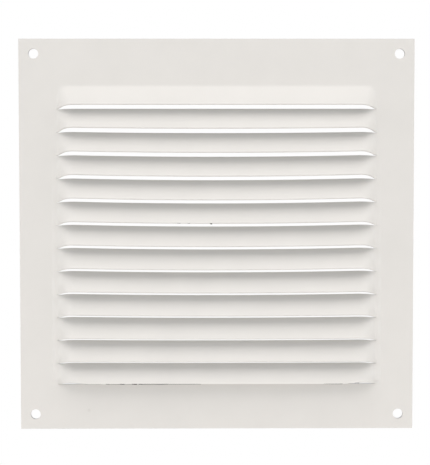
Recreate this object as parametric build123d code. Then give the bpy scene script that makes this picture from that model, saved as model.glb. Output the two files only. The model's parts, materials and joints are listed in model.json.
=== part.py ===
from build123d import *
import math
import os

# A ventilation grille, pressed from one sheet of lacquered aluminium.
# Millimetres, +Z up. The louvres face -Y, the back of the sheet lies in the plane y = 0,
# and the origin is at the centre of the screw holes on that back face.

# Plate
plate_width = 200.0
plate_height = 198.0
sheet = 0.8
hole_diameter = 5.0
hole_inset = 7.5

# Louvre field: the flat margins around it, and the slats that fill it
side_margin = 18.8
top_margin = 24.0
bottom_margin = 21.0
slat_pitch = 11.73
slat_angle = 31.0

# The first slat hangs on a bend and leans less, and the last one is narrower than the rest
first_drop = 11.4
first_angle = 28.5
last_drop = 10.55

# Width of the sheared slits at their ends, where the slats lie flat in the plate
slit_gap = 0.15

# Drawn ends of a slat: in plan, an S-curve from the plate out to the straight lip
cheek_length = 9.1
foot_reach = 2.3
shoulder_reach = 5.4

# Inside radius of the bend that carries the first slat
bend_radius = 4.0

# Sag of the slits at mid-length: most above the middle of the field, none in the first and last
sag_peak = 0.95
sag_skew = 0.67

# Worked out from the sizes above
field_height = plate_height - top_margin - bottom_margin
slat_count = 2 + math.floor((field_height - first_drop - last_drop) / slat_pitch)
slit_length = plate_width - 2 * side_margin
slit_half = slit_length / 2
lip_half = slit_half - cheek_length
tilt = math.radians(slat_angle)
first_tilt = math.radians(first_angle)
bend_reach = bend_radius * math.tan(first_tilt / 2)
field_top = plate_height / 2 - top_margin
drops = [first_drop] + [slat_pitch] * (slat_count - 2) + [last_drop]
hinges = [field_top - sum(drops[:slat]) for slat in range(slat_count)]
field_bottom = field_top - sum(drops)


def slit_sag(slat: int) -> float:
    """Sag at mid-length of the slit under a slat, counted from 0 at the top."""
    place = slat / (slat_count - 1)
    return sag_peak * math.sin(math.pi * place**sag_skew)


def control_point(x: float, hinge: float, turn: float, drop: float, rise: float) -> Vector:
    """A point on the back of a slat, `drop` below its hinge line and turned out by `turn`."""
    return Vector(x, -drop * math.sin(turn), hinge - drop * math.cos(turn) + rise)


def cheek_row(side: int, hinge: float, turn: float, drop: float, sag: float) -> list[Vector]:
    """Control points across one drawn end, from the end of the slit in to the straight lip."""
    end_slope = 2 * sag / lip_half
    return [
        control_point(side * slit_half, hinge, 0, drop, 0),
        control_point(side * (slit_half - foot_reach), hinge, 0, drop, 0),
        control_point(side * (lip_half + shoulder_reach), hinge, turn, drop, end_slope * shoulder_reach),
        control_point(side * lip_half, hinge, turn, drop, 0),
    ]


def middle_row(hinge: float, turn: float, drop: float, sag: float) -> list[Vector]:
    """Control points along the straight length of a slat, which sags between its two ends."""
    return [
        control_point(-lip_half, hinge, turn, drop, 0),
        control_point(0, hinge, turn, drop, -2 * sag),
        control_point(lip_half, hinge, turn, drop, 0),
    ]


def strip_faces(hinge: float, rows: list[tuple[float, float, float]]) -> list[Face]:
    """Both drawn ends and the middle of a strip of sheet, from (turn, drop, sag) rows down its width."""
    left = Face.make_bezier_surface([cheek_row(-1, hinge, *row) for row in rows])
    middle = Face.make_bezier_surface([middle_row(hinge, *row) for row in rows])
    right = Face.make_bezier_surface([cheek_row(1, hinge, *row) for row in rows])
    return [left, middle, right]


def slat_solid(slat: int) -> Solid:
    """One slat: the sheet between two slits, turned out about its top edge and given its thickness."""
    hinge = hinges[slat]
    if slat == 0:
        bend_end = (first_tilt, bend_reach, 0.0)
        bend = [(0.0, -bend_reach, 0.0), (0.0, 0.0, 0.0), bend_end]
        lip = (first_tilt, drops[slat], slit_sag(slat))
        faces = strip_faces(hinge, bend) + strip_faces(hinge, [bend_end, lip])
    else:
        free_edge = (tilt, slit_gap, slit_sag(slat - 1))
        lip = (tilt, drops[slat], slit_sag(slat))
        faces = strip_faces(hinge, [free_edge, lip])
    back = Shell(Face.sew_faces(faces)[0])
    facing = back.faces().sort_by(Axis.Z)[0].normal_at().Y
    return Solid.thicken(back, math.copysign(sheet, -facing))


def plate_solid() -> Part:
    """The flat plate with its screw holes, and the window that the slats fill."""
    window_top = field_top + bend_reach
    window_bottom = field_bottom - slit_gap
    window_middle = (window_top + window_bottom) / 2
    outline = Rectangle(plate_width, plate_height)
    spacing_x = plate_width - 2 * hole_inset
    spacing_z = plate_height - 2 * hole_inset
    holes = GridLocations(spacing_x, spacing_z, 2, 2) * Circle(hole_diameter / 2)
    window = Pos(0, window_middle) * Rectangle(slit_length, window_top - window_bottom)
    return extrude(Plane.XZ * (outline - holes - window), sheet)


def louvre_plate() -> Part:
    """The whole grille, one piece of sheet."""
    return plate_solid() + [slat_solid(slat) for slat in range(slat_count)]


os.makedirs("parts", exist_ok=True)
export_step(louvre_plate(), "parts/louvre_plate.step")
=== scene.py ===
"""A ventilation grille, pressed from one sheet of lacquered aluminium, dressed for its photograph."""

import json
import logging
import math
from collections.abc import Callable
from dataclasses import dataclass, field
from enum import Enum

import bmesh
import bpy
from mathutils import Euler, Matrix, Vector


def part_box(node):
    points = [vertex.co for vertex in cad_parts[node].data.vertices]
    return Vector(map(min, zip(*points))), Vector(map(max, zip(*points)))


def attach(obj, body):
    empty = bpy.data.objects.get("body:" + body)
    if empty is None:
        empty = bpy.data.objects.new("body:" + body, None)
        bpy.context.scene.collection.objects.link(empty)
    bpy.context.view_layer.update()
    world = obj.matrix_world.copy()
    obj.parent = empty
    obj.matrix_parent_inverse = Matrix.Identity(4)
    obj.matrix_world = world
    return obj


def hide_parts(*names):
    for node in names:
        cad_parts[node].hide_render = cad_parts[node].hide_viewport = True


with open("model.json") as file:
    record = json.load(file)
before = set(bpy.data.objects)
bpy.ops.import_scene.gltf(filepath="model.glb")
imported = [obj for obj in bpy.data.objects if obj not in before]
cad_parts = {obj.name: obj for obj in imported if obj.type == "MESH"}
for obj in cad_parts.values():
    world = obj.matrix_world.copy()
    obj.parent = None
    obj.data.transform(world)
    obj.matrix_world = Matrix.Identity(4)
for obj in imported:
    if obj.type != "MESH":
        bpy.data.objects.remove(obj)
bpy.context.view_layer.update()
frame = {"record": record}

PHOTO_WIDTH = 430
PHOTO_HEIGHT = 465
BODY = "root"
NODE = "louvre_plate"
SCREW_MOUNT = "screw_holes"

MM = 0.001
# Places closer than TOUCH are the same place, and a cut closer than SNAP to a vertex goes through it.
TOUCH = 0.002 * MM
SNAP = TOUCH / 10
QUARTER_TURN = math.radians(90)
# Faces that meet at less than this angle are shaded as one smooth surface.
SMOOTH_ANGLE = math.radians(40)
# The values that a noise texture seldom goes under or over.
NOISE_LOW = 0.3
NOISE_HIGH = 0.7

log = logging.getLogger("grille")

Place = tuple[float, float, float]
Colour = tuple[float, float, float]

WHITE: Colour = (1.0, 1.0, 1.0)


class Side(Enum):
    """The two ends of a slat, as signs of x, and the two ends of the plate, as signs of z."""

    LOW = -1
    HIGH = 1


class Axis(Enum):
    """Directions of a straight cut through the blank: what the cut stands square to."""

    ACROSS = (1.0, 0.0, 0.0)
    DOWN = (0.0, 0.0, 1.0)


class Element(Enum):
    """Kinds of mesh element, by the names of their selection modes."""

    VERTEX = "VERT"
    EDGE = "EDGE"
    FACE = "FACE"


class Surface(Enum):
    """Material slots of the sheet."""

    LACQUERED = 0
    # The hole walls: bare metal, set darker as painted shade.
    PUNCHED = 1


def uneven_film() -> bpy.types.NodeTree:
    """Builds, once, the node group for the slight unevenness of a sprayed or worked surface.

    Returns:
        The group, with a tone and a gloss that drift over the surface and the height of its ripples.
    """
    name = "uneven_film"
    if name in bpy.data.node_groups:
        return bpy.data.node_groups[name]
    group = bpy.data.node_groups.new(name, "ShaderNodeTree")
    sockets = group.interface
    sockets.new_socket("Place", in_out="INPUT", socket_type="NodeSocketVector")
    noises = {"Cloud": "Tone", "Haze": "Gloss", "Ripple": "Height"}
    for title, output in noises.items():
        sockets.new_socket(f"{title} Scale", in_out="INPUT", socket_type="NodeSocketFloat")
        sockets.new_socket(f"{title} Detail", in_out="INPUT", socket_type="NodeSocketFloat")
        sockets.new_socket(output, in_out="OUTPUT", socket_type="NodeSocketFloat")
    nodes, links = group.nodes, group.links
    given = nodes.new("NodeGroupInput")
    result = nodes.new("NodeGroupOutput")
    for title, output in noises.items():
        noise = nodes.new("ShaderNodeTexNoise")
        links.new(given.outputs["Place"], noise.inputs["Vector"])
        links.new(given.outputs[f"{title} Scale"], noise.inputs["Scale"])
        links.new(given.outputs[f"{title} Detail"], noise.inputs["Detail"])
        links.new(noise.outputs["Fac"], result.inputs[output])
    return group


@dataclass(frozen=True)
class FilmFinish:
    """A finish whose tone, gloss and surface drift a little from place to place.

    Attributes:
        name: name of the material.
        colour: base colour, linear.
        shade: colour that the tone drifts towards.
        roughness: roughness where the gloss is highest and lowest.
        metallic: share of bare metal.
        cloud: width of the patches of tone.
        cloud_detail: how much finer structure these patches carry.
        haze: width of the patches of gloss.
        haze_detail: how much finer structure these patches carry.
        ripple: width of the ripples of the surface.
        ripple_detail: how much finer structure the ripples carry.
        relief: height of the ripples.
    """

    name: str
    colour: Colour
    shade: Colour
    roughness: tuple[float, float] = (0.36, 0.48)
    metallic: float = 0.0
    cloud: float = 16.0 * MM
    cloud_detail: float = 3.0
    haze: float = 40.0 * MM
    haze_detail: float = 1.0
    ripple: float = 1.4 * MM
    ripple_detail: float = 2.0
    relief: float = 0.008 * MM

    def material(self) -> bpy.types.Material:
        """Builds the finish as a node material.

        Returns:
            The material.
        """
        material = bpy.data.materials.new(self.name)
        material.use_nodes = True
        nodes, links = material.node_tree.nodes, material.node_tree.links
        shader = nodes["Principled BSDF"]
        shader.inputs["Metallic"].default_value = self.metallic
        place = nodes.new("ShaderNodeTexCoord").outputs["Object"]
        film = nodes.new("ShaderNodeGroup")
        film.node_tree = uneven_film()
        links.new(place, film.inputs["Place"])
        noises = {
            "Cloud": (self.cloud, self.cloud_detail),
            "Haze": (self.haze, self.haze_detail),
            "Ripple": (self.ripple, self.ripple_detail),
        }
        for title, (width, detail) in noises.items():
            film.inputs[f"{title} Scale"].default_value = 1.0 / width
            film.inputs[f"{title} Detail"].default_value = detail
        links.new(self.base_colour(material, place, film.outputs["Tone"]), shader.inputs["Base Color"])
        gloss = nodes.new("ShaderNodeMapRange")
        gloss.inputs["From Min"].default_value = NOISE_LOW
        gloss.inputs["From Max"].default_value = NOISE_HIGH
        gloss.inputs["To Min"].default_value = self.roughness[0]
        gloss.inputs["To Max"].default_value = self.roughness[1]
        links.new(film.outputs["Gloss"], gloss.inputs["Value"])
        links.new(gloss.outputs["Result"], shader.inputs["Roughness"])
        bump = nodes.new("ShaderNodeBump")
        bump.inputs["Distance"].default_value = self.relief
        links.new(film.outputs["Height"], bump.inputs["Height"])
        links.new(bump.outputs["Normal"], shader.inputs["Normal"])
        return material

    def base_colour(
        self, material: bpy.types.Material, place: bpy.types.NodeSocket, tone: bpy.types.NodeSocket
    ) -> bpy.types.NodeSocket:
        """Lets the colour drift by the tone.

        Args:
            material: the material being built.
            place: the object coordinates; not used here.
            tone: the drifting tone, from 0 to 1.

        Returns:
            The colour of the surface.
        """
        ramp = material.node_tree.nodes.new("ShaderNodeValToRGB")
        stops = ((NOISE_LOW, self.colour), (NOISE_HIGH, self.shade))
        for element, (position, colour) in zip(ramp.color_ramp.elements, stops):
            element.position = position
            element.color = (*colour, 1.0)
        material.node_tree.links.new(tone, ramp.inputs["Fac"])
        return ramp.outputs["Color"]


@dataclass(frozen=True)
class LacquerFinish(FilmFinish):
    """Satin off-white lacquer, with one faint smudge on the lower margin.

    Attributes:
        smudge_place: middle of the smudge, in front of the sheet, so that its back stays clean.
        smudge_radius: how far the smudge reaches.
        smudge_colour: colour of the smudge at its middle.
        smudge_grain: width of the patches that break it up.
        smudge_detail: how much finer structure these patches carry.
    """

    smudge_place: Place = (-65.3 * MM, -1.6 * MM, -89.6 * MM)
    smudge_radius: float = 1.6 * MM
    smudge_colour: Colour = (0.56, 0.53, 0.49)
    smudge_grain: float = 0.8 * MM
    smudge_detail: float = 3.0

    def base_colour(
        self, material: bpy.types.Material, place: bpy.types.NodeSocket, tone: bpy.types.NodeSocket
    ) -> bpy.types.NodeSocket:
        """Lays the smudge over the drifting colour.

        Args:
            material: the material being built.
            place: the object coordinates.
            tone: the drifting tone, from 0 to 1.

        Returns:
            The colour of the surface.
        """
        nodes, links = material.node_tree.nodes, material.node_tree.links
        clean = super().base_colour(material, place, tone)
        distance = nodes.new("ShaderNodeVectorMath")
        distance.operation = "DISTANCE"
        distance.inputs[1].default_value = self.smudge_place
        links.new(place, distance.inputs[0])
        break_up = nodes.new("ShaderNodeTexNoise")
        break_up.inputs["Scale"].default_value = 1.0 / self.smudge_grain
        break_up.inputs["Detail"].default_value = self.smudge_detail
        links.new(place, break_up.inputs["Vector"])
        reach = nodes.new("ShaderNodeMapRange")
        reach.interpolation_type = "SMOOTHSTEP"
        reach.inputs["From Min"].default_value = self.smudge_radius
        reach.inputs["From Max"].default_value = 0.0
        links.new(distance.outputs["Value"], reach.inputs["Value"])
        share = nodes.new("ShaderNodeMath")
        share.operation = "MULTIPLY"
        links.new(reach.outputs["Result"], share.inputs[0])
        links.new(break_up.outputs["Fac"], share.inputs[1])
        mix = nodes.new("ShaderNodeMix")
        mix.data_type = "RGBA"
        inputs = {socket.identifier: socket for socket in mix.inputs}
        inputs["B_Color"].default_value = (*self.smudge_colour, 1.0)
        links.new(share.outputs["Value"], inputs["Factor_Float"])
        links.new(clean, inputs["A_Color"])
        return next(socket for socket in mix.outputs if socket.identifier == "Result_Color")


def pick(piece: bpy.types.Object, kind: Element, wanted: Callable[..., bool]) -> None:
    """Selects, in edit mode, the elements of one kind at wanted places and nothing else.

    Args:
        piece: the mesh object in edit mode.
        kind: the kind of element.
        wanted: test of a vertex's place, of the two ends of an edge or of the middle of a face.
    """
    bpy.ops.mesh.select_mode(type=kind.value)
    bpy.ops.mesh.select_all(action="DESELECT")
    mesh = bmesh.from_edit_mesh(piece.data)
    if kind is Element.VERTEX:
        for vertex in mesh.verts:
            vertex.select = wanted(vertex.co)
    elif kind is Element.EDGE:
        for edge in mesh.edges:
            edge.select = wanted(edge.verts[0].co, edge.verts[1].co)
    else:
        for face in mesh.faces:
            face.select = wanted(face.calc_center_median())
    mesh.select_flush_mode()
    bmesh.update_edit_mesh(piece.data)


def anywhere(middle: Vector) -> bool:
    """Accepts every face, wherever its middle lies."""
    return True


def near(first: float, second: float) -> bool:
    """Tells whether two lengths are the same, to the accuracy of a cut."""
    return abs(first - second) < TOUCH


def apply_modifier(piece: bpy.types.Object, name: str) -> None:
    """Applies a modifier of a piece."""
    bpy.context.view_layer.objects.active = piece
    bpy.ops.object.modifier_apply(modifier=name)


def select_only(piece: bpy.types.Object) -> None:
    """Selects a piece and nothing else, and makes it the active one.

    Args:
        piece: the piece to work on next.
    """
    bpy.ops.object.select_all(action="DESELECT")
    piece.select_set(True)
    bpy.context.view_layer.objects.active = piece


def mount_dims(name: str) -> dict[str, float]:
    """Sizes of one of the record's mounts, in the record's own units."""
    return next(mount["dims"] for mount in frame["record"]["mounts"] if mount["name"] == name)


@dataclass
class PressedSheet:
    """The grille itself: one blank, cut, pressed into slats and given its thickness.

    The blank is drawn in the plane of the sheet's back, y = 0, and the slats are pressed out towards -Y.
    A slat hangs from its hinge, the level of the slit above it, and its lip is the upper edge of the slit
    under it. Slats are counted from 0 at the top.

    Attributes:
        sheet: thickness of the metal.
        side_margin: flat margin beside the slits.
        top_margin: flat margin above the fold of the first slat.
        first_drop: width of the first slat, from its fold to its lip.
        slat_pitch: width of the other slats.
        last_drop: width of the last slat.
        slat_count: number of slats.
        slat_angle: angle of the slats to the plate, in degrees.
        first_angle: angle of the first slat, in degrees.
        slit_gap: width of the slits at their ends.
        cheek_length: length of the drawn end of a slat.
        foot_reach: how far a drawn end stays close to the plate.
        shoulder_reach: how far a drawn end stays close to the straight lip.
        bend_radius: inside radius of the fold above the first slat.
        sag_peak: sag of the slits at mid-length, where it is greatest.
        sag_skew: how far up the field the greatest sag lies.
        foot_zone: how far the plate is drawn up past the ends of the slits.
        foot_inner: how far that swelling runs in along the slats.
        foot_swell: height of the swelling beside the last slat; it shrinks to none at the first.
        foot_peak: place of its top above the slit, as a share of the slat's width.
        foot_rise: length of its slope above the top, as a share of the slat's width.
        foot_fall: length of its slope under the top, as a share of the slat's width.
        foot_power: power of its outline, which is an ellipse at 2 and squarer above that.
        level_cut: how far the front of the last lip reaches past its back, where it is sheared level.
        level_power: power by which the level cut fades out at the ends of the lip.
        edge_round: radius that the lacquer gives to the cut edges.
        edge_angle: least angle between the faces of an edge that is rounded, in degrees.
        punch_length: length of the punch that makes the screw holes.
        foot_steps: columns of faces past each end of the slits.
        foot_rings: steps in which a swelling is drawn up.
        cheek_steps: columns of faces in a drawn end.
        middle_steps: columns of faces between the drawn ends.
        slat_rows: rows of faces down a slat.
        bend_steps: faces round the fold.
        round_steps: faces round a cut edge.
        hole_steps: faces round a screw hole.
        piece: the sheet, from the start of its making.
    """

    sheet: float = 0.8 * MM
    side_margin: float = 18.8 * MM
    top_margin: float = 24.0 * MM
    first_drop: float = 11.4 * MM
    slat_pitch: float = 11.73 * MM
    last_drop: float = 10.55 * MM
    slat_count: int = 13
    slat_angle: float = 31.0
    first_angle: float = 28.5
    slit_gap: float = 0.15 * MM
    cheek_length: float = 9.1 * MM
    foot_reach: float = 2.3 * MM
    shoulder_reach: float = 5.4 * MM
    bend_radius: float = 4.0 * MM
    sag_peak: float = 0.95 * MM
    sag_skew: float = 0.67
    foot_zone: float = 2.8 * MM
    foot_inner: float = 5.6 * MM
    foot_swell: float = 0.80 * MM
    foot_peak: float = 0.30
    foot_rise: float = 0.75
    foot_fall: float = 0.50
    foot_power: int = 4
    level_cut: float = 0.9 * MM
    level_power: int = 24
    edge_round: float = 0.06 * MM
    edge_angle: float = 50.0
    punch_length: float = 8.0 * MM
    foot_steps: int = 8
    foot_rings: int = 24
    cheek_steps: int = 12
    middle_steps: int = 20
    slat_rows: int = 12
    bend_steps: int = 6
    round_steps: int = 2
    hole_steps: int = 48
    piece: bpy.types.Object | None = field(init=False, default=None)

    def __post_init__(self) -> None:
        """Works out the places that follow from the sizes."""
        low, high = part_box(NODE)
        self.half_width: float = (high.x - low.x) / 2
        self.half_height: float = (high.z - low.z) / 2
        self.slit_half: float = self.half_width - self.side_margin
        self.lip_half: float = self.slit_half - self.cheek_length
        self.field_half: float = self.slit_half + self.foot_zone
        self.last: int = self.slat_count - 1
        middle_drops = [self.slat_pitch] * (self.slat_count - 2)
        self.drops: list[float] = [self.first_drop, *middle_drops, self.last_drop]
        self.fold: float = self.half_height - self.top_margin
        self.hinges: list[float] = [self.fold - sum(self.drops[:slat]) for slat in range(self.slat_count)]
        self.slits: list[float] = [hinge - drop for hinge, drop in zip(self.hinges, self.drops)]
        self.field_low: float = self.slits[-1] - self.slit_gap
        self.cheek: list[float] = [step / self.cheek_steps for step in range(self.cheek_steps + 1)]
        column = 2 * self.lip_half / self.middle_steps
        self.middle: list[float] = [column * step for step in range(self.middle_steps // 2)]
        dims = mount_dims(SCREW_MOUNT)
        self.hole_radius: float = dims["hole_r_mm"] * MM
        self.holes: list[tuple[float, float]] = [
            (across.value * dims["spacing_x_mm"] * MM / 2, along.value * dims["spacing_y_mm"] * MM / 2)
            for across in Side
            for along in Side
        ]

    def tilt(self, slat: int) -> float:
        """Angle of a slat to the plate, in radians."""
        return math.radians(self.first_angle if slat == 0 else self.slat_angle)

    def sag(self, slat: int, x: float) -> float:
        """Sag of the slit under a slat, at a place along its straight lip."""
        most = self.sag_peak * math.sin(math.pi * (slat / self.last) ** self.sag_skew)
        return most * (1 - (x / self.lip_half) ** 2)

    def cheek_place(self, t: float) -> float:
        """Places the columns of a drawn end along a Bezier curve.

        Args:
            t: share of the drawn end, from 0 at the end of the slit to 1 at the straight lip.

        Returns:
            The distance from the middle of the slat.
        """
        poles = (0.0, self.foot_reach, self.cheek_length - self.shoulder_reach, self.cheek_length)
        degree = len(poles) - 1
        weights = [math.comb(degree, k) * (1 - t) ** (degree - k) * t**k for k in range(degree + 1)]
        return self.slit_half - sum(weight * pole for weight, pole in zip(weights, poles))

    def cheek_rise(self, t: float) -> float:
        """Share of the lip's full travel at share t of the drawn end, as a smooth step."""
        return t * t * (3 - 2 * t)

    def pull(self, slat: int) -> Vector:
        """Full travel of a slat's lip, from the flat blank to the pressed sheet."""
        tilt = self.tilt(slat)
        return Vector((0, -self.drops[slat] * math.sin(tilt), self.drops[slat] * (1 - math.cos(tilt))))

    def overhang(self, slat: int, x: float) -> Vector:
        """Works out how far the front of a lip reaches past a square cut.

        Args:
            slat: the slat.
            x: place along the lip.

        Returns:
            The travel, which is none but for the last slat.
        """
        if slat < self.last:
            return Vector((0, 0, 0))
        tilt = self.tilt(slat)
        share = 1 - (x / self.lip_half) ** self.level_power
        return Vector((0, -math.sin(tilt), -math.cos(tilt))) * self.level_cut * share

    def lip_point(self, slat: int, x: float, depth: float) -> Vector:
        """Finds a point of the cut edge of a slat's straight lip.

        Args:
            slat: the slat.
            x: place along the lip.
            depth: place through the sheet, from 0 at its back to 1 at its front.

        Returns:
            The point.
        """
        tilt = self.tilt(slat)
        back = Vector((x, 0, self.slits[slat] - self.sag(slat, x))) + self.pull(slat)
        outwards = Vector((0, -math.cos(tilt), math.sin(tilt))) * self.sheet
        return back + depth * (outwards + self.overhang(slat, x))

    def build(self) -> bpy.types.Object:
        """Makes the sheet from a flat blank.

        Returns:
            The finished piece.
        """
        self._start_blank()
        self._cut_blank()
        self._open_slits()
        self._bow_slits()
        for slat in range(self.slat_count):
            self._pull_lip(slat)
        self._round_fold()
        self._add_rows()
        for slat in range(1, self.slat_count):
            self._swell_feet(slat)
        bpy.ops.object.mode_set(mode="OBJECT")
        self._thicken()
        self._level_last_lip()
        self._punch_holes()
        self._round_edges()
        self._shade()
        return self.piece

    def _start_blank(self) -> None:
        """Lays out the flat blank and opens it for editing."""
        bpy.ops.object.select_all(action="DESELECT")
        bpy.ops.mesh.primitive_plane_add(size=1.0, rotation=(QUARTER_TURN, 0, 0))
        self.piece = bpy.context.object
        self.piece.name = "pressed_sheet"
        self.piece.data.name = "pressed_sheet"
        self.piece.scale = (2 * self.half_width, 2 * self.half_height, 1.0)
        bpy.ops.object.transform_apply(location=True, rotation=True, scale=True)
        bpy.ops.object.mode_set(mode="EDIT")

    def _cut(self, axis: Axis, place: float, wanted: Callable[[Vector], bool]) -> None:
        """Cuts the wanted faces of the blank along a straight line.

        Args:
            axis: what the cut stands square to.
            place: where along that axis the cut lies.
            wanted: test of the middle of a face.
        """
        pick(self.piece, Element.FACE, wanted)
        direction = Vector(axis.value)
        bpy.ops.mesh.bisect(plane_co=direction * place, plane_no=direction, threshold=SNAP)

    def _in_field(self, middle: Vector) -> bool:
        """Tells whether the middle of a face lies in the louvre field."""
        return abs(middle.x) < self.field_half and self.field_low < middle.z < self.fold

    def _cut_blank(self) -> None:
        """Cuts the margins off the louvre field, and the field into columns and rows."""
        for side in Side:
            self._cut(Axis.ACROSS, side.value * self.field_half, anywhere)
        for place in (self.fold, self.field_low):
            self._cut(Axis.DOWN, place, anywhere)
        shares = [step / self.foot_steps for step in range(1, self.foot_steps)]
        feet = [self.slit_half + self.foot_zone * share for share in shares]
        ends = [self.cheek_place(t) for t in self.cheek]
        for place in feet + ends + self.middle:
            for side in Side:
                self._cut(Axis.ACROSS, side.value * place, self._in_field)
        for slit in self.slits:
            self._cut(Axis.DOWN, slit, self._in_field)
            self._cut(Axis.DOWN, slit - self.slit_gap, self._in_field)

    def _open_slits(self) -> None:
        """Takes out the narrow strips of metal between the slats."""
        def in_slit(middle: Vector) -> bool:
            """Tells whether the middle of a face lies in a slit."""
            across = abs(middle.x) < self.slit_half
            return across and any(slit - self.slit_gap < middle.z < slit for slit in self.slits)

        pick(self.piece, Element.FACE, in_slit)
        bpy.ops.mesh.delete(type="FACE")

    def _bow_slits(self) -> None:
        """Bows each slit downwards between the drawn ends of its slats."""
        for slat, slit in enumerate(self.slits):
            for place in self.middle:
                def on_slit(point: Vector) -> bool:
                    """Tells whether a vertex lies on either edge of the slit, in this column."""
                    beside = near(point.z, slit) or near(point.z, slit - self.slit_gap)
                    return beside and near(abs(point.x), place)

                pick(self.piece, Element.VERTEX, on_slit)
                bpy.ops.transform.translate(value=(0, 0, -self.sag(slat, place)))

    def _pull_lip(self, slat: int) -> None:
        """Pulls the lip of a slat out of the plate, less and less towards its ends.

        Args:
            slat: the slat.
        """
        slit = self.slits[slat]
        pull = self.pull(slat)
        for t in self.cheek[1:-1]:
            place = self.cheek_place(t)

            def on_cheek(point: Vector) -> bool:
                """Tells whether a vertex lies on the lip, in this column of a drawn end."""
                return near(abs(point.x), place) and near(point.z, slit) and near(point.y, 0)

            pick(self.piece, Element.VERTEX, on_cheek)
            bpy.ops.transform.translate(value=pull * self.cheek_rise(t))
        straight = self._straight_lip(slit)
        pick(self.piece, Element.VERTEX, lambda point: tuple(point) in straight)
        bpy.ops.transform.translate(value=pull)

    def _straight_lip(self, slit: float) -> set[Place]:
        """Finds the straight lip above a slit, while it still lies in the plate.

        Args:
            slit: level of the slit at its ends.

        Returns:
            The places of the vertices along the lip.
        """
        found = set()
        for vertex in bmesh.from_edit_mesh(self.piece.data).verts:
            if abs(vertex.co.x) > self.lip_half + TOUCH or not near(vertex.co.y, 0):
                continue
            level = slit - self.sag_peak - TOUCH < vertex.co.z < slit + TOUCH
            # A lip carries the slat above it, and the other edge of the slit does not.
            above = max(edge.other_vert(vertex).co.z for edge in vertex.link_edges) - vertex.co.z
            if level and above > self.slat_pitch / 2:
                found.add(tuple(vertex.co))
        return found

    def _round_fold(self) -> None:
        """Rounds the fold that carries the first slat."""
        def on_fold(a: Vector, b: Vector) -> bool:
            """Tells whether an edge lies on the fold, between the ends of the slits."""
            along = near(a.z, self.fold) and near(b.z, self.fold)
            return along and max(abs(a.x), abs(b.x)) < self.slit_half + TOUCH

        pick(self.piece, Element.EDGE, on_fold)
        reach = self.bend_radius * math.tan(self.tilt(0) / 2)
        bpy.ops.mesh.bevel(offset=reach, segments=self.bend_steps, affect="EDGES", clamp_overlap=False)

    def _add_rows(self) -> None:
        """Divides the slats down their width, so that the drawn ends can take their shape."""
        def down_slat(a: Vector, b: Vector) -> bool:
            """Tells whether an edge runs down a slat or beside it."""
            inside = max(abs(a.x), abs(b.x)) < self.field_half + TOUCH
            return inside and near(a.x, b.x) and abs(a.z - b.z) > self.slat_pitch / 2

        pick(self.piece, Element.EDGE, down_slat)
        bpy.ops.mesh.subdivide(number_cuts=self.slat_rows - 1)

    def _swell_feet(self, slat: int) -> None:
        """Draws up the plate beside a slat, past the ends of the slit under it, into a swelling.

        Args:
            slat: the slat.
        """
        swell = self.foot_swell * slat / self.last
        peak = self.slits[slat] + self.foot_peak * self.drops[slat]
        # The last swelling ends at its slit, because the margin under it stays flat.
        fall = self.foot_fall if slat < self.last else self.foot_peak

        def reach(point: Vector) -> float:
            """Place of a point in the swelling, from 0 at its top to 1 at its rim."""
            past = abs(point.x) - self.slit_half
            above = point.z - peak
            across = past / (self.foot_zone if past > 0 else self.foot_inner)
            down = above / (self.drops[slat] * (self.foot_rise if above > 0 else fall))
            return (across**self.foot_power + down**self.foot_power) ** (1 / self.foot_power)

        # Each ring lifts all that lies inside it by one step of a smooth, bell-shaped rise.
        for ring in range(self.foot_rings):
            inner = ring / self.foot_rings
            outer = (ring + 1) / self.foot_rings
            pick(self.piece, Element.VERTEX, lambda point: reach(point) < (inner + outer) / 2)
            step = (1 - inner**2) ** 2 - (1 - outer**2) ** 2
            bpy.ops.transform.translate(value=(0, -swell * step, 0))

    def _thicken(self) -> None:
        """Gives the sheet its thickness, towards the front."""
        solidify = self.piece.modifiers.new("thickness", "SOLIDIFY")
        solidify.thickness = self.sheet
        solidify.offset = 1.0
        solidify.use_even_offset = True
        solidify.use_quality_normals = True
        apply_modifier(self.piece, "thickness")

    def _level_last_lip(self) -> None:
        """Draws the front of the last lip down, so that its cut edge lies level."""
        select_only(self.piece)
        bpy.ops.object.mode_set(mode="EDIT")
        for place in self.middle:
            travel = self.overhang(self.last, place)
            corner = self.lip_point(self.last, place, depth=1.0) - travel

            def on_corner(point: Vector) -> bool:
                """Tells whether a vertex lies at the front of the lip, in this column."""
                return (Vector((abs(point.x), point.y, point.z)) - corner).length < self.sheet / 2

            pick(self.piece, Element.VERTEX, on_corner)
            bpy.ops.transform.translate(value=travel)
        bpy.ops.object.mode_set(mode="OBJECT")

    def _punch_holes(self) -> None:
        """Punches the four screw holes through the corners."""
        bpy.ops.object.select_all(action="DESELECT")
        for x, z in self.holes:
            bpy.ops.mesh.primitive_cylinder_add(
                vertices=self.hole_steps,
                radius=self.hole_radius,
                depth=self.punch_length,
                location=(x, 0, z),
                rotation=(QUARTER_TURN, 0, 0),
            )
            punch = bpy.context.object
            cut = self.piece.modifiers.new("hole", "BOOLEAN")
            cut.object = punch
            cut.solver = "EXACT"
            apply_modifier(self.piece, "hole")
            bpy.data.objects.remove(punch)

    def _round_edges(self) -> None:
        """Rounds the cut edges as the lacquer does, and keeps the back level."""
        rounding = self.piece.modifiers.new("lacquered_edges", "BEVEL")
        rounding.width = self.edge_round
        rounding.segments = self.round_steps
        rounding.limit_method = "ANGLE"
        rounding.angle_limit = math.radians(self.edge_angle)
        rounding.use_clamp_overlap = False
        apply_modifier(self.piece, "lacquered_edges")
        select_only(self.piece)
        bpy.ops.object.mode_set(mode="EDIT")
        # The rounding can leave a vertex just behind the back, which would stand off the wall.
        pick(self.piece, Element.VERTEX, lambda point: point.y > 0)
        bpy.ops.transform.resize(value=(1, 0, 1), center_override=(0, 0, 0))
        bpy.ops.object.mode_set(mode="OBJECT")

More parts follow.
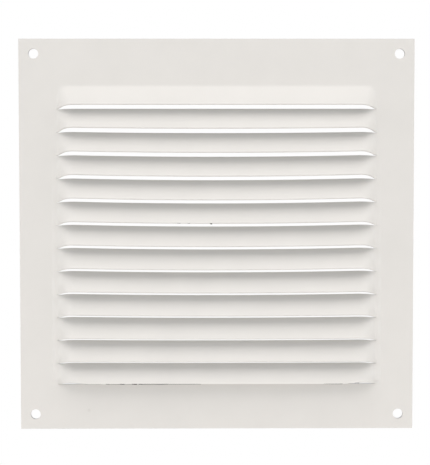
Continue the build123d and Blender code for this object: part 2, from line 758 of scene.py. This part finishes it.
    def _shade(self) -> None:
        """Shades the pressed shapes smooth and the plate flat."""
        bpy.ops.object.shade_smooth_by_angle(angle=SMOOTH_ANGLE)
        weighted = self.piece.modifiers.new("flat_faces", "WEIGHTED_NORMAL")
        weighted.keep_sharp = True
        apply_modifier(self.piece, "flat_faces")

    def dress(self, lacquer: FilmFinish, punched_and_shade: FilmFinish) -> None:
        """Lacquers the sheet, gives the walls of its holes a bare-metal finish set darker as painted
        shade, and puts it in place of the plain one.

        Args:
            lacquer: finish of the sheet.
            punched_and_shade: finish of the walls of the holes.
        """
        finishes = {Surface.LACQUERED: lacquer, Surface.PUNCHED: punched_and_shade}
        self.piece.data.materials.clear()
        for surface in Surface:
            self.piece.data.materials.append(finishes[surface].material())

        def on_wall(point: Vector) -> bool:
            """Tells whether a vertex lies on the wall of a hole."""
            reach = self.hole_radius + TOUCH
            return any(math.hypot(point.x - x, point.z - z) < reach for x, z in self.holes)

        select_only(self.piece)
        bpy.ops.object.mode_set(mode="EDIT")
        pick(self.piece, Element.VERTEX, on_wall)
        self.piece.active_material_index = Surface.PUNCHED.value
        bpy.ops.object.material_slot_assign()
        bpy.ops.object.mode_set(mode="OBJECT")
        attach(self.piece, BODY)
        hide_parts(NODE)


@dataclass(frozen=True)
class Burr:
    """A sliver of torn metal on a lip, coloured near-black as painted shade of the dark gap under the
    lip.

    Attributes:
        slat: the slat that it hangs on, counted from 0 at the top.
        place: middle of the sliver along the lip.
        length: its length along the lip.
        hang: its height before the lower edge is torn, half of it above the lip.
        depth: place through the sheet, from 0 at its back to 1 at its front.
    """

    slat: int
    place: float
    length: float
    hang: float
    depth: float = 0.9


@dataclass
class LipBurrsPaintedShade:
    """The torn slivers along two of the lips, coloured near-black as painted shade of the dark gap under
    those lips.

    The shares below are of a sliver's own length, thickness or hang.

    Attributes:
        burrs: where they hang and how large they are.
        thickness: how thick a sliver is.
        teeth: number of steps in the torn edge.
        tooth_drop: how far the torn edge hangs under the straight one, as a share.
        tooth_swing: how far its teeth differ from that, as a share.
        tooth_beat: angle by which one tooth follows another in that swing, in radians.
        end_lift: how far the torn edge rises at the two ends, as a share.
        end_power: power by which it rises towards them.
        torn_share: thickness left along the torn edge, as a share.
        rounding: how far the edges are rounded, as a share.
        round_steps: faces round an edge.
        piece: all slivers in one, once they are built.
    """

    burrs: tuple[Burr, ...] = (
        Burr(5, -2.9 * MM, 1.1 * MM, 0.66 * MM, 0.4),
        Burr(5, -14.0 * MM, 1.4 * MM, 0.12 * MM, 0.5),
        Burr(5, -19.0 * MM, 1.6 * MM, 0.12 * MM, 0.5),
        Burr(12, -62.0 * MM, 9.0 * MM, 0.06 * MM),
        Burr(12, -54.9 * MM, 2.0 * MM, 0.20 * MM),
        Burr(12, -50.6 * MM, 9.5 * MM, 0.14 * MM),
        Burr(12, -47.6 * MM, 2.4 * MM, 0.28 * MM),
        Burr(12, -44.4 * MM, 3.0 * MM, 0.10 * MM),
        Burr(12, -41.4 * MM, 2.8 * MM, 0.34 * MM),
        Burr(12, -38.4 * MM, 2.2 * MM, 0.28 * MM),
        Burr(12, -32.0 * MM, 15.0 * MM, 0.24 * MM),
        Burr(12, -21.0 * MM, 26.0 * MM, 0.15 * MM),
        Burr(12, 58.4 * MM, 9.6 * MM, 0.13 * MM),
        Burr(12, 61.4 * MM, 3.4 * MM, 0.16 * MM),
        Burr(12, 70.4 * MM, 2.4 * MM, 0.10 * MM),
    )
    thickness: float = 0.3 * MM
    teeth: int = 6
    tooth_drop: float = 0.25
    tooth_swing: float = 0.2
    tooth_beat: float = 7.0
    end_lift: float = 0.5
    end_power: int = 4
    torn_share: float = 0.35
    rounding: float = 0.06
    round_steps: int = 2
    piece: bpy.types.Object | None = field(init=False, default=None)

    def build(self, sheet: PressedSheet) -> bpy.types.Object:
        """Makes one sliver, and hangs a copy of it at each place.

        Args:
            sheet: the sheet that the slivers hang on.

        Returns:
            The finished piece, all slivers in one.
        """
        pattern = self._sliver()
        copies = []
        for burr in self.burrs:
            select_only(pattern)
            bpy.ops.object.duplicate()
            sliver = bpy.context.object
            sliver.scale = (burr.length, self.thickness, burr.hang)
            sliver.location = sheet.lip_point(burr.slat, burr.place, burr.depth)
            bpy.ops.object.transform_apply(location=True, rotation=True, scale=True)
            copies.append(sliver)
        bpy.data.objects.remove(pattern)
        select_only(copies[0])
        for sliver in copies:
            sliver.select_set(True)
        bpy.ops.object.join()
        self.piece = bpy.context.object
        self.piece.name = "lip_burrs"
        self.piece.data.name = "lip_burrs"
        bpy.ops.object.shade_smooth_by_angle(angle=SMOOTH_ANGLE)
        return self.piece

    def _sliver(self) -> bpy.types.Object:
        """Shapes one sliver of unit size, thin and torn at its lower edge.

        Returns:
            The sliver.
        """
        bpy.ops.object.select_all(action="DESELECT")
        bpy.ops.mesh.primitive_cube_add(size=1.0)
        sliver = bpy.context.object
        bpy.ops.object.mode_set(mode="EDIT")
        places = [step / self.teeth - 0.5 for step in range(self.teeth + 1)]
        for place in places[1:-1]:
            pick(sliver, Element.FACE, anywhere)
            bpy.ops.mesh.bisect(plane_co=(place, 0, 0), plane_no=Axis.ACROSS.value)
        for step, place in enumerate(places):
            swing = self.tooth_swing * math.sin(self.tooth_beat * step)
            lift = swing + self.end_lift * (2 * place) ** self.end_power - self.tooth_drop
            pick(sliver, Element.VERTEX, lambda point: near(point.x, place) and point.z < 0)
            bpy.ops.transform.translate(value=(0, 0, lift))
            bpy.ops.transform.resize(value=(1, self.torn_share, 1))
        bpy.ops.mesh.select_all(action="SELECT")
        bpy.ops.mesh.bevel(offset=self.rounding, segments=self.round_steps, affect="EDGES")
        bpy.ops.object.mode_set(mode="OBJECT")
        return sliver

    def dress(self, finish: FilmFinish) -> None:
        """Gives the slivers their near-black finish, which is painted shade, and fixes them to the
        sheet's body.

        Args:
            finish: finish of the slivers, a near-black painted shade.
        """
        self.piece.data.materials.clear()
        self.piece.data.materials.append(finish.material())
        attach(self.piece, BODY)


@dataclass(frozen=True)
class Softbox:
    """A soft light with a rectangular front, aimed at the grille.

    Attributes:
        name: name of the light.
        place: where its middle hangs, in metres.
        width: length of its level sides, in metres.
        height: length of its other sides, in metres.
        power: its power in watts.
        colour: its colour.
        paired: whether a second one hangs opposite, as its mirror image in x.
    """

    name: str
    place: Place
    width: float
    height: float
    power: float
    colour: Colour = WHITE
    paired: bool = False

    def hang(self) -> None:
        """Hangs the light, or the pair of lights, out of the camera's sight."""
        across, inwards, up = self.place
        for side in Side if self.paired else (Side.HIGH,):
            lamp = bpy.data.lights.new(self.name, "AREA")
            lamp.shape = "RECTANGLE"
            lamp.size = self.width
            lamp.size_y = self.height
            lamp.energy = self.power
            lamp.color = self.colour
            light = bpy.data.objects.new(self.name, lamp)
            light.location = (side.value * across, inwards, up)
            # A lamp shines along its own -Z, so its Z axis points away from the grille.
            light.rotation_euler = light.location.to_track_quat("Z", "Y").to_euler()
            light.visible_camera = False
            bpy.context.scene.collection.objects.link(light)


@dataclass
class Studio:
    """White surroundings, a pale floor and the soft light around the grille.

    Attributes:
        floor_drop: how far the floor lies under the middle of the grille, in metres.
        floor_half: half the side of the floor, in metres.
        floor_albedo: share of light that the floor reflects.
        floor_roughness: roughness of the floor, matt at 1.
        ambient: colour and strength of the light from all round.
        softboxes: the lights that hang around the grille.
    """

    floor_drop: float = 0.7
    floor_half: float = 1.0
    floor_albedo: float = 0.85
    floor_roughness: float = 1.0
    ambient: Colour = (0.200, 0.224, 0.240)
    softboxes: tuple[Softbox, ...] = (
        Softbox("overhead_strip", (0.0, -0.5, 1.0), 4.0, 1.0, 19.06, (1.0, 0.962, 0.935)),
        Softbox("low_strip", (0.0, -1.0, -0.6), 4.0, 0.8, 13.76, (1.0, 0.900, 0.820)),
        Softbox("side_strip", (0.92, -0.92, 0.1), 0.12, 1.0, 2.46, (0.860, 0.940, 1.0), paired=True),
        Softbox("side_panel", (1.2, -0.12, 0.0), 0.22, 1.6, 1.26, (1.0, 0.970, 0.940), paired=True),
        Softbox("back_panel", (0.0, 1.2, -0.45), 2.0, 0.8, 2.40, (1.0, 0.930, 0.880)),
    )

    def build(self) -> None:
        """Makes the floor, the surroundings and the lights."""
        bpy.ops.object.select_all(action="DESELECT")
        bpy.ops.mesh.primitive_plane_add(size=2 * self.floor_half, location=(0, 0, -self.floor_drop))
        floor = bpy.context.object
        floor.name = "floor"
        floor.data.materials.append(self._floor_paint())
        self._surroundings()
        for softbox in self.softboxes:
            softbox.hang()
        bpy.context.scene.view_settings.view_transform = "Standard"

    def _surroundings(self) -> None:
        """Makes surroundings that look white and give a dimmer, slightly cool light all round."""
        world = bpy.data.worlds.new("studio")
        world.use_nodes = True
        nodes, links = world.node_tree.nodes, world.node_tree.links
        light = nodes["Background"]
        light.inputs["Color"].default_value = (*self.ambient, 1)
        white = nodes.new("ShaderNodeBackground")
        white.inputs["Color"].default_value = (*WHITE, 1)
        seen = nodes.new("ShaderNodeLightPath")
        mix = nodes.new("ShaderNodeMixShader")
        links.new(seen.outputs["Is Camera Ray"], mix.inputs[0])
        links.new(light.outputs[0], mix.inputs[1])
        links.new(white.outputs[0], mix.inputs[2])
        links.new(mix.outputs[0], nodes["World Output"].inputs["Surface"])
        bpy.context.scene.world = world

    def _floor_paint(self) -> bpy.types.Material:
        """Mixes a plain, pale, matt paint for the floor.

        Returns:
            The material.
        """
        material = bpy.data.materials.new("pale_floor")
        material.use_nodes = True
        shader = material.node_tree.nodes["Principled BSDF"]
        shader.inputs["Base Color"].default_value = (*([self.floor_albedo] * 3), 1)
        shader.inputs["Roughness"].default_value = self.floor_roughness
        return material


@dataclass
class PhotoCamera:
    """The camera of the photograph: close in front of the plate, a little above its middle.

    Attributes:
        distance: from the lens to the point that it looks at.
        focal_pixels: focal length, in pixels of the photograph.
        elevation: how far the camera looks down, in degrees.
        yaw: how far it looks to the side, in degrees.
        roll: how far it is turned about its line of sight, in degrees.
        target_x: where it looks, across the plate.
        target_z: where it looks, up the plate.
        film: width of its film, in millimetres.
        closest: distance from the lens at which it starts to see.
    """

    distance: float = 350 * MM
    focal_pixels: float = 687.7
    elevation: float = 1.421
    yaw: float = 0.236
    roll: float = 0.044
    target_x: float = -0.908 * MM
    target_z: float = 1.203 * MM
    film: float = 36.0
    closest: float = 10 * MM

    def build(self) -> None:
        """Places the camera and makes it the scene's."""
        camera = bpy.data.cameras.new("photo_camera")
        camera.sensor_width = self.film
        camera.lens = self.film * self.focal_pixels / max(PHOTO_WIDTH, PHOTO_HEIGHT)
        camera.clip_start = self.closest
        seat = bpy.data.objects.new("photo_camera", camera)
        down = QUARTER_TURN - math.radians(self.elevation)
        turn = Euler((down, math.radians(self.roll), -math.radians(self.yaw)))
        forward = turn.to_matrix() @ Vector((0, 0, -1))
        seat.rotation_euler = turn
        seat.location = Vector((self.target_x, 0, self.target_z)) - self.distance * forward
        bpy.context.scene.collection.objects.link(seat)
        bpy.context.scene.camera = seat


SATIN_LACQUER = LacquerFinish("satin_lacquer", (0.806, 0.779, 0.745), (0.788, 0.762, 0.728))
# Bare aluminium for the walls of the screw holes, its grey set darker than the lacquer as painted shade
# for the dark rims of the holes.
PUNCHED_METAL_AND_SHADE = FilmFinish(
    "punched_aluminium_and_shade",
    (0.62, 0.61, 0.60),
    (0.52, 0.51, 0.50),
    roughness=(0.30, 0.45),
    metallic=1.0,
    cloud=0.8 * MM,
    haze=1.5 * MM,
    ripple=0.15 * MM,
    relief=0.01 * MM,
)
# Near-black finish of the lip slivers: painted shade of the dark gap under the lips, not the colour of
# torn aluminium.
LIP_SLIVER_SHADE = FilmFinish(
    "painted_gap_shade",
    (0.030, 0.028, 0.026),
    (0.090, 0.085, 0.080),
    roughness=(0.5, 0.8),
    cloud=0.5 * MM,
    haze=1.0 * MM,
    ripple=0.1 * MM,
    ripple_detail=4.0,
    relief=0.02 * MM,
)


def main() -> None:
    """Builds the grille and its studio in order."""
    logging.basicConfig(level=logging.INFO)
    grille = PressedSheet()
    grille.build()
    grille.dress(SATIN_LACQUER, PUNCHED_METAL_AND_SHADE)
    burrs = LipBurrsPaintedShade()
    burrs.build(grille)
    burrs.dress(LIP_SLIVER_SHADE)
    for piece in (grille.piece, burrs.piece):
        log.info("%s: %d faces", piece.name, len(piece.data.polygons))
    Studio().build()
    PhotoCamera().build()


if __name__ == "__main__":
    main()
